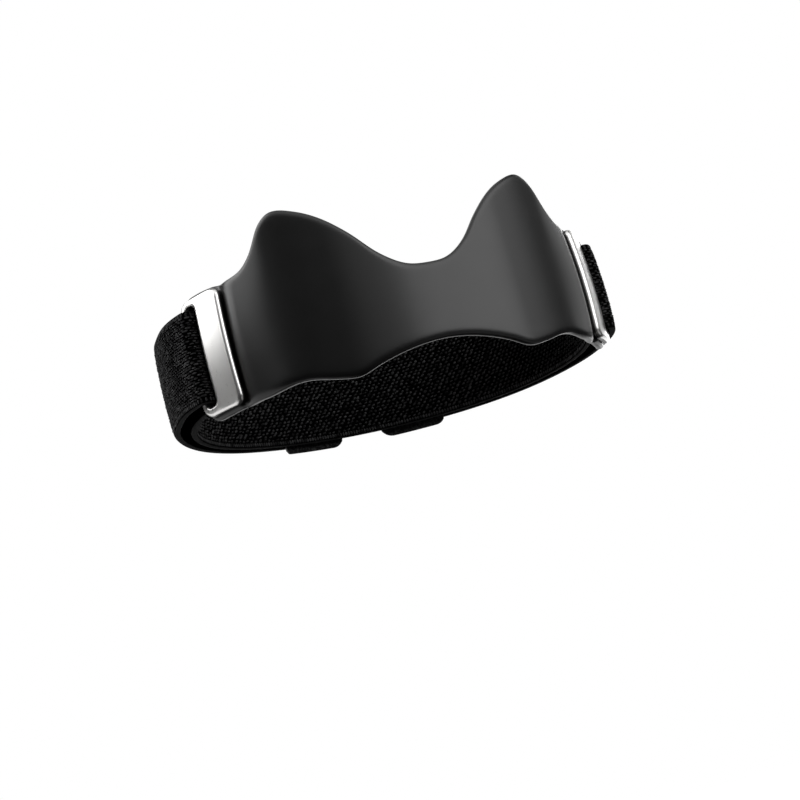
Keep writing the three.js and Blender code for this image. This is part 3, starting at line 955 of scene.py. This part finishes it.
class StrapBandOperator(bpy.types.Operator):
    """Model the knitted band: one folded strip, its stitches and its ribbed selvedges"""

    bl_idname = "strap.band"
    bl_label = "Knitted band"

    FACE_STEPS = 8
    ROUND_STEPS = 4
    EDGE_SLOPE = 0.7
    # The selvedges' ribs: their pitch, their place as a share of the selvedge, and their size as shares of
    # the pitch, the selvedge and a stitch's height.
    RIB_PITCH = 0.85 * MM
    RIB_PLACE = 0.6
    RIB_LENGTH, RIB_WIDTH, RIB_HEIGHT = 0.85, 0.8, 0.35
    # Stitches gather beside a fold: fully within one distance, less up to another, and longer by a share.
    GATHER_FROM = 3.5 * MM
    GATHER_TO = 9.0 * MM
    GATHER_LENGTH = 0.6
    # The outside's stitches go on this far past the middle of a fold, and the inside's stop twice as far.
    # Between the two a bare strip shows the ground's painted shade beside each fold.
    TURN_IN = 1.5 * MM
    # How the stitches wander: the noise, the shares by which it changes them, and how far it moves them.
    # Without a seed the noise would differ from run to run.
    WANDER_SEED = 5
    WANDER_SCALE = 1.7 / MM
    LENGTH_WANDER, WIDTH_WANDER, HEIGHT_WANDER, SLANT_WANDER = 0.5, 0.5, 0.8, 0.8
    ALONG_WANDER = 0.5 * MM
    UP_WANDER = 0.35 * MM

    def execute(self, context):
        scene = context.scene
        self.sizes = scene.strap_band
        self.strip = Strip(scene)
        low, high = (corner.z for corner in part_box("band"))
        self.low, self.high = low, high
        band = self.body()
        stitches = self.stitches()
        ground, edge = knit_ground_painted_shade_material(self.sizes.knit), selvedge_painted_light_material(self.sizes.edge)
        dress(band, [ground, edge], "band")
        # Faces turned up or down take the edges' painted light; the others take the ground's painted shade.
        for polygon in band.data.polygons:
            polygon.material_index = int(abs(polygon.normal.z) > self.EDGE_SLOPE)
        dress(stitches, [yarn_material(self.sizes.yarn)])
        return {"FINISHED"}

    def body(self):
        """The strip itself, with a UV map along it and round its section."""
        half = self.sizes.thickness / 2
        edge_round = (self.sizes.edge_round, self.sizes.edge_round)
        shares = even(0, 1, 1 / self.FACE_STEPS)
        section = wall_section(
            self.high, self.low, -half, half, edge_round, edge_round, shares, self.ROUND_STEPS
        )
        strip = self.strip
        columns = [
            [strip.place(point, out, bow, offset, height) for offset, height in section]
            for point, out, bow in zip(strip.points, strip.out, strip.bows)
        ]
        across = [0.0]
        for near, far in zip(section, section[1:]):
            across.append(across[-1] + math.dist(near, far))
        band = grid_of("knit_band", columns)
        set_uv(band, strip.along, across)
        close_up(band)
        band.data.shade_smooth()
        return band

    def bead(self):
        """One stitch: the upper half of a round bead, one unit long and wide and half a unit high."""
        bead = start(bpy.ops.mesh.primitive_uv_sphere_add, "stitch", segments=6, ring_count=4, radius=0.5)
        with editing(bead, "FACE"):
            select(bead, "faces", lambda face: face.calc_center_median().z < 0)
            bpy.ops.mesh.delete(type="FACE")
        return bead

    def lay(self, along, height, size, slant, face=1):
        """The frame of one bead on the strip's right face (1) or left face (-1), turned by the slant.

        The size is its length, width and height.
        """
        point, out, bow = self.strip.frame(along)
        origin = self.strip.place(point, out, bow, face * self.sizes.thickness / 2, height)
        run = np.array((-out[1], out[0], 0.0))
        rise = np.array((*(-self.strip.plan.lean(height) * bow), 1.0))
        lengthways = math.cos(slant) * run + math.sin(slant) * rise
        crossways = -math.sin(slant) * run + math.cos(slant) * rise
        outwards = face * np.array((*out, 0.0))
        return origin, (face * lengthways * size[0], crossways * size[1], outwards * size[2] * 2)

    def stitch(self, along, height, fineness, face):
        """The frame of one stitch: irregular, and longer and level where the outside gathers at a fold."""
        sizes = self.sizes
        to_fold = min(abs(along - fold) for fold in self.strip.folds)
        gather = 1 - smooth(to_fold, self.GATHER_FROM, self.GATHER_TO) if fineness < 1 else 0.0
        wander = noise.noise_vector((along * self.WANDER_SCALE, height * self.WANDER_SCALE, 0.0))
        stretch = (1 + self.GATHER_LENGTH * gather) * (1 + self.LENGTH_WANDER * wander.x)
        size = (
            fineness * sizes.stitch_length * stretch,
            fineness * sizes.stitch_width * (1 + self.WIDTH_WANDER * wander.y),
            fineness * sizes.stitch_height * (1 + self.HEIGHT_WANDER * wander.z),
        )
        slant = sizes.stitch_slant * (1 - gather) * (1 + self.SLANT_WANDER * wander.y)
        along += fineness * self.ALONG_WANDER * wander.z
        height += fineness * self.UP_WANDER * wander.x
        return self.lay(along, height, size, slant, face)

    def stitches(self):
        """Staggered rows of slanting stitches, finer on the outside, between two ribbed selvedges."""
        noise.seed_set(self.WANDER_SEED)
        sizes, strip = self.sizes, self.strip
        frames = []
        left, right = strip.folds
        bare_from = strip.centre - (strip.plan.half - sizes.left_tab_last)
        bare_to = strip.centre + (strip.plan.half - sizes.right_tab_last)
        # The gaps beside the folds leave the ground's painted shade bare.
        stretches = (
            (0.0, left + self.TURN_IN, sizes.fineness, 1),
            (left + 2 * self.TURN_IN, right - 2 * self.TURN_IN, 1.0, 1),
            (right - self.TURN_IN, strip.length, sizes.fineness, 1),
            (bare_from, bare_to, sizes.fineness, -1),
        )
        for start_along, end_along, fineness, face in stretches:
            pitch, spacing = fineness * sizes.stitch_along, fineness * sizes.stitch_across
            places = even(start_along + pitch / 2, end_along - pitch, pitch)
            edge = sizes.selvedge + spacing / 2
            for row, height in enumerate(even(self.low + edge, self.high - edge, spacing)):
                stagger = pitch / 2 if row % 2 else 0.0
                frames += [self.stitch(place + stagger, height, fineness, face) for place in places]
        inset = self.RIB_PLACE * sizes.selvedge
        rib = (
            self.RIB_LENGTH * self.RIB_PITCH,
            self.RIB_WIDTH * sizes.selvedge,
            self.RIB_HEIGHT * sizes.stitch_height,
        )
        for height in (self.low + inset, self.high - inset):
            for along in even(self.RIB_PITCH, strip.length - self.RIB_PITCH, self.RIB_PITCH):
                frames.append(self.lay(along, height, rib, slant=0.0))
        bead = self.bead()
        stitches = scattered("knit_stitches", bead, frames)
        bpy.data.objects.remove(bead)
        return stitches


class StrapTabsOperator(bpy.types.Operator):
    """Model the two hook tabs between the layers at the back"""

    bl_idname = "strap.tabs"
    bl_label = "Hook tabs"

    STEP = 0.6 * MM
    EDGE_ROUND = 0.3 * MM
    FACE_STEPS = 12
    ROUND_STEPS = 2

    def execute(self, context):
        scene = context.scene
        sizes = scene.strap_band
        plan = Plan(scene.strap_plan)
        material = hook_material(sizes.hook)
        inner = sizes.inner_layer + sizes.thickness / 2 + scene.strap_buckle.clearance
        edge_round = (self.EDGE_ROUND, self.EDGE_ROUND)
        shares = even(0, 1, 1 / self.FACE_STEPS)
        for side, hand in ((-1, "left"), (1, "right")):
            first, last = (getattr(sizes, hand + "_tab_" + end) for end in ("first", "last"))
            first_corner, last_corner = (
                getattr(sizes, hand + "_tab_" + end + "_corner") for end in ("first", "last")
            )
            low, high = (corner.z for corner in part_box("tab_" + hand))
            stations = even(first, last, self.STEP)
            columns = []
            for arc in stations:
                inset = corner_inset(arc - first, first_corner) + corner_inset(last - arc, last_corner)
                section = wall_section(
                    high - inset,
                    low + inset,
                    inner,
                    inner + sizes.tab_thickness,
                    edge_round,
                    edge_round,
                    shares,
                    self.ROUND_STEPS,
                )
                columns.append([plan.place(side * arc, offset, height) for offset, height in section])
            tab = grid_of("hook_tab_" + hand, columns)
            set_uv(tab, stations, [height for _, height in section])
            close_up(tab)
            tab.data.shade_smooth()
            dress(tab, [material], "tab_" + hand)
        return {"FINISHED"}


def direction(azimuth, elevation):
    """From the strap's axis outwards: 0 is the front, and the viewer's right is positive."""
    level = math.cos(elevation)
    return Vector((level * math.sin(azimuth), -level * math.cos(azimuth), math.sin(elevation)))


class StrapStageOperator(bpy.types.Operator):
    """Set the floor, the soft light and the camera from below"""

    bl_idname = "strap.stage"
    bl_label = "Stage"

    FLOOR_SIZE = 40
    FLOOR_GLOW = 1.3
    FLOOR_SHADE = 0.98
    AMBIENT = 0.02
    CLIP = (0.01, 50)

    # Soft boxes round the strap: azimuth and elevation in degrees and distance in metres, width and height,
    # power, and whether each shows in matte surfaces, in gloss or in all.
    LIGHTS = (
        {"name": "key_box", "at": (36.6, 22, 0.9), "size": (0.95, 0.7), "power": 7.0, "lights": "all"},
        {"name": "front_box", "at": (-3, 30, 0.9), "size": (0.5, 0.6), "power": 1.05, "lights": "gloss"},
        {"name": "left_box", "at": (-102, 40, 0.5), "size": (0.28, 0.4), "power": 1.8, "lights": "gloss"},
        {"name": "wing_box", "at": (-67, 40, 0.5), "size": (0.2, 0.4), "power": 0.95, "lights": "gloss"},
        {"name": "side_box", "at": (-106, 0, 0.9), "size": (0.5, 0.06), "power": 6.5, "lights": "matte"},
        {"name": "under_box", "at": (150, -70, 0.5), "size": (0.3, 0.3), "power": 0.8, "lights": "matte"},
        {"name": "foot_box", "at": (-110, -36, 0.6), "size": (1.0, 0.8), "power": 3.2, "lights": "gloss"},
        {"name": "low_box", "at": (52, -34, 0.7), "size": (0.9, 0.4), "power": 0.45, "lights": "gloss"},
        {"name": "rim_right", "at": (102, 22, 0.9), "size": (0.42, 0.6), "power": 0.7, "lights": "all"},
        {"name": "plate_box", "at": (134, 20, 0.9), "size": (0.22, 0.5), "power": 0.7, "lights": "all"},
        {"name": "right_box", "at": (135, 4, 0.9), "size": (0.36, 0.8), "power": 1.7, "lights": "gloss"},
        {"name": "top_box", "at": (0, 66, 0.9), "size": (1.2, 0.8), "power": 4.0, "lights": "gloss"},
        {"name": "back_top_box", "at": (170, 55, 0.9), "size": (1.2, 0.8), "power": 1.6, "lights": "all"},
        {"name": "back_box", "at": (162, 3, 1.3), "size": (1.1, 1.2), "power": 4.1, "lights": "all"},
    )

    def execute(self, context):
        scene = context.scene
        self.sizes = scene.strap_stage
        scene.view_settings.view_transform = "Standard"
        self.world(scene)
        self.floor()
        for row in self.LIGHTS:
            self.soft_box(scene, row)
        self.camera(scene)
        return {"FINISHED"}

    def world(self, scene):
        """White behind the strap, and a dim even light from all round."""
        world = bpy.data.worlds.new("studio")
        world.use_nodes = True
        nodes, links = world.node_tree.nodes, world.node_tree.links
        seen, around = nodes["Background"], nodes.new("ShaderNodeBackground")
        for background, strength in ((seen, 1.0), (around, self.AMBIENT)):
            background.inputs["Color"].default_value = (1, 1, 1, 1)
            background.inputs["Strength"].default_value = strength
        path = nodes.new("ShaderNodeLightPath")
        either = nodes.new("ShaderNodeMixShader")
        links.new(path.outputs["Is Camera Ray"], either.inputs[0])
        links.new(around.outputs[0], either.inputs[1])
        links.new(seen.outputs[0], either.inputs[2])
        links.new(either.outputs[0], nodes["World Output"].inputs["Surface"])
        scene.world = world

    def floor(self):
        """A pale floor far below the strap that glows to the camera and lights nothing."""
        place = (0, 0, -self.sizes.floor_drop)
        floor = start(bpy.ops.mesh.primitive_plane_add, "floor", size=self.FLOOR_SIZE, location=place)
        shader = Shader("pale_floor", Roughness=0.9, Emission_Strength=self.FLOOR_GLOW)
        base = self.sizes.floor
        mottle = shader.noise(shader.object_place, scale=3)
        tone = shader.blend(mottle, scaled(base, self.FLOOR_SHADE), base)
        floor.data.materials.append(shader.feed(Base_Color=tone, Emission_Color=tone))
        floor.visible_diffuse = False
        floor.visible_glossy = False

    @staticmethod
    def soft_box(scene, row):
        data = bpy.data.lights.new(row["name"], "AREA")
        data.shape = "RECTANGLE"
        data.size, data.size_y = row["size"]
        data.energy = row["power"]
        light = bpy.data.objects.new(row["name"], data)
        light.visible_camera = False
        light.visible_diffuse = row["lights"] != "gloss"
        light.visible_glossy = row["lights"] != "matte"
        azimuth, elevation, reach = row["at"]
        out = direction(math.radians(azimuth), math.radians(elevation))
        light.location = out * reach
        light.rotation_euler = out.to_track_quat("Z", "Y").to_euler()
        scene.collection.objects.link(light)

    def camera(self, scene):
        """A leaning camera to the left of the strap and below it."""
        sizes = self.sizes
        data = bpy.data.cameras.new("camera")
        data.lens = sizes.lens
        data.shift_x, data.shift_y = sizes.shift_x, sizes.shift_y
        data.clip_start, data.clip_end = self.CLIP
        camera = bpy.data.objects.new("camera", data)
        across = Vector((math.cos(sizes.azimuth), -math.sin(sizes.azimuth), 0))
        ahead = -direction(-sizes.azimuth, sizes.elevation)
        up = across.cross(ahead)
        right = across * math.cos(sizes.roll) - up * math.sin(sizes.roll)
        up = across * math.sin(sizes.roll) + up * math.cos(sizes.roll)
        turn = Matrix((right, up, -ahead)).transposed().to_4x4()
        camera.matrix_world = Matrix.Translation(-sizes.distance * ahead) @ turn
        scene.collection.objects.link(camera)
        scene.camera = camera


class StrapPanel(bpy.types.Panel):
    """The strap's pieces and sizes"""

    bl_idname = "VIEW3D_PT_strap"
    bl_label = "Patellar strap"
    bl_space_type = "VIEW_3D"
    bl_region_type = "UI"
    bl_category = "Strap"

    def draw(self, context):
        for operator in OPERATORS:
            self.layout.operator(operator.bl_idname)
        for name in GROUPS:
            box = self.layout.box()
            group = getattr(context.scene, name)
            for key in group.__annotations__:
                box.prop(group, key)


GROUPS = {
    "strap_plan": StrapPlanSizes,
    "strap_pad": StrapPadSizes,
    "strap_buckle": StrapBuckleSizes,
    "strap_band": StrapBandSizes,
    "strap_stage": StrapStageSizes,
}
OPERATORS = (
    StrapPadOperator,
    StrapBucklesOperator,
    StrapBandOperator,
    StrapTabsOperator,
    StrapStageOperator,
)


def register():
    for group in GROUPS.values():
        bpy.utils.register_class(group)
    for name, group in GROUPS.items():
        setattr(bpy.types.Scene, name, PointerProperty(type=group))
    for operator in OPERATORS:
        bpy.utils.register_class(operator)
    bpy.utils.register_class(StrapPanel)


def unregister():
    bpy.utils.unregister_class(StrapPanel)
    for operator in reversed(OPERATORS):
        bpy.utils.unregister_class(operator)
    for name in GROUPS:
        delattr(bpy.types.Scene, name)
    for group in reversed(GROUPS.values()):
        bpy.utils.unregister_class(group)


def main():
    register()
    bpy.ops.strap.stage()
    bpy.ops.strap.pad()
    bpy.ops.strap.buckles()
    bpy.ops.strap.band()
    bpy.ops.strap.tabs()


if __name__ == "__main__":
    main()
